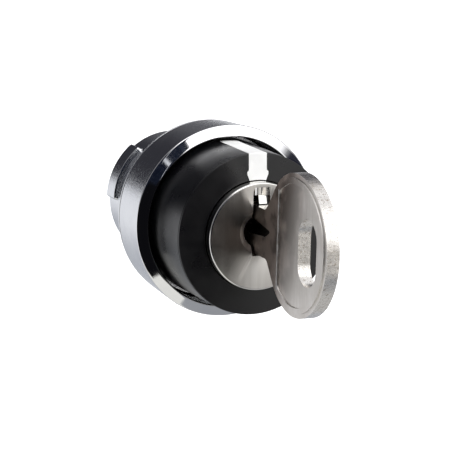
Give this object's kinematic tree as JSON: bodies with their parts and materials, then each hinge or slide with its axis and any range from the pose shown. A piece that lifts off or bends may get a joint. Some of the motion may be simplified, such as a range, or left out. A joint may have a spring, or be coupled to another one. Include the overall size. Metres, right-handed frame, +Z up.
{
  "type": "key selector switch head",
  "caption": "Panel-mounted selector switch head turned by a key: round bezel, black knob with white pointer, wafer lock, index cam and rear plungers.",
  "frame": {"origin": "centre of the panel hole, on the plane of the panel's front surface where the bezel seats", "axes": "+Y runs back along the turning axis, from the key through the panel to the plungers; +Z is up, where the pointer stands at rest; +X completes the frame"},
  "size_m": [0.029, 0.062, 0.029],
  "materials": {
    "chrome_casting": "chrome plate over die cast zinc: polished front ring, satin side and barrel",
    "rubber_seal": "matte nitrile rubber",
    "brass_lock": "machined brass",
    "wafer_brass": "stamped brass",
    "black_plastic": "satin moulded black thermoplastic",
    "grey_plastic": "moulded acetal",
    "white_plastic": "satin white marker",
    "plunger_plastic": "moulded acetal, natural white",
    "brushed_steel": "turned and brushed stainless steel with a bright chamfer",
    "key_nickel": "stamped nickel silver, brushed faces and rough sheared rim",
    "spring_steel": "spring steel",
    "screw_steel": "zinc plated steel"
  },
  "bodies": {
    "housing": {"body_casting": "chrome_casting", "panel_gasket": "rubber_seal", "knob_seal": "rubber_seal", "lock_stator": "brass_lock", "rear_cage": "black_plastic", "retaining_ring": "spring_steel", "index_spring_left": "spring_steel", "index_spring_right": "spring_steel", "plunger_spring_left": "spring_steel", "plunger_spring_right": "spring_steel"},
    "selector": {"knob_shell": "black_plastic", "pointer_insert": "white_plastic", "face_cap": "brushed_steel", "lock_plug": "brass_lock", "lock_circlip": "spring_steel", "drive_cam": "grey_plastic", "cam_washer": "screw_steel", "cam_screw": "screw_steel", "wafer_spring_1": "spring_steel", "wafer_spring_2": "spring_steel", "wafer_spring_3": "spring_steel", "wafer_spring_4": "spring_steel", "wafer_spring_5": "spring_steel"},
    "key": {"key": "key_nickel"},
    "wafers": {"wafer_1": "wafer_brass", "wafer_2": "wafer_brass", "wafer_3": "wafer_brass", "wafer_4": "wafer_brass", "wafer_5": "wafer_brass"},
    "left_plunger": {"plunger_left": "plunger_plastic"},
    "right_plunger": {"plunger_right": "plunger_plastic"}
  },
  "joints": [
    {"name": "selector_turn", "type": "hinge", "parent": "housing", "child": "selector", "pos_m": [0, 0, 0], "axis": [0, 1, 0], "range_deg": [-45, 45], "deforming": ["index_spring_left", "index_spring_right"]},
    {"name": "key_withdraw", "type": "slide", "parent": "selector", "child": "key", "axis": [0, -1, 0], "range_m": [0, 0.024]},
    {"name": "wafer_lift", "type": "slide", "parent": "selector", "child": "wafers", "axis": [0, 0, 1], "range_m": [0, 0.0009], "deforming": ["wafer_spring_1", "wafer_spring_2", "wafer_spring_3", "wafer_spring_4", "wafer_spring_5"]},
    {"name": "left_plunger_slide", "type": "slide", "parent": "housing", "child": "left_plunger", "axis": [0, 1, 0], "range_m": [-0.0016, 0.0016], "deforming": ["plunger_spring_left"]},
    {"name": "right_plunger_slide", "type": "slide", "parent": "housing", "child": "right_plunger", "axis": [0, 1, 0], "range_m": [-0.0016, 0.0016], "deforming": ["plunger_spring_right"]}
  ],
  "couplings": [
    {"joint": "left_plunger_slide", "follows": "selector_turn", "m_per_rad": -0.002037},
    {"joint": "right_plunger_slide", "follows": "selector_turn", "m_per_rad": 0.002037},
    {"joint": "wafer_lift", "follows": "key_withdraw", "ratio": 0.0375}
  ]
}
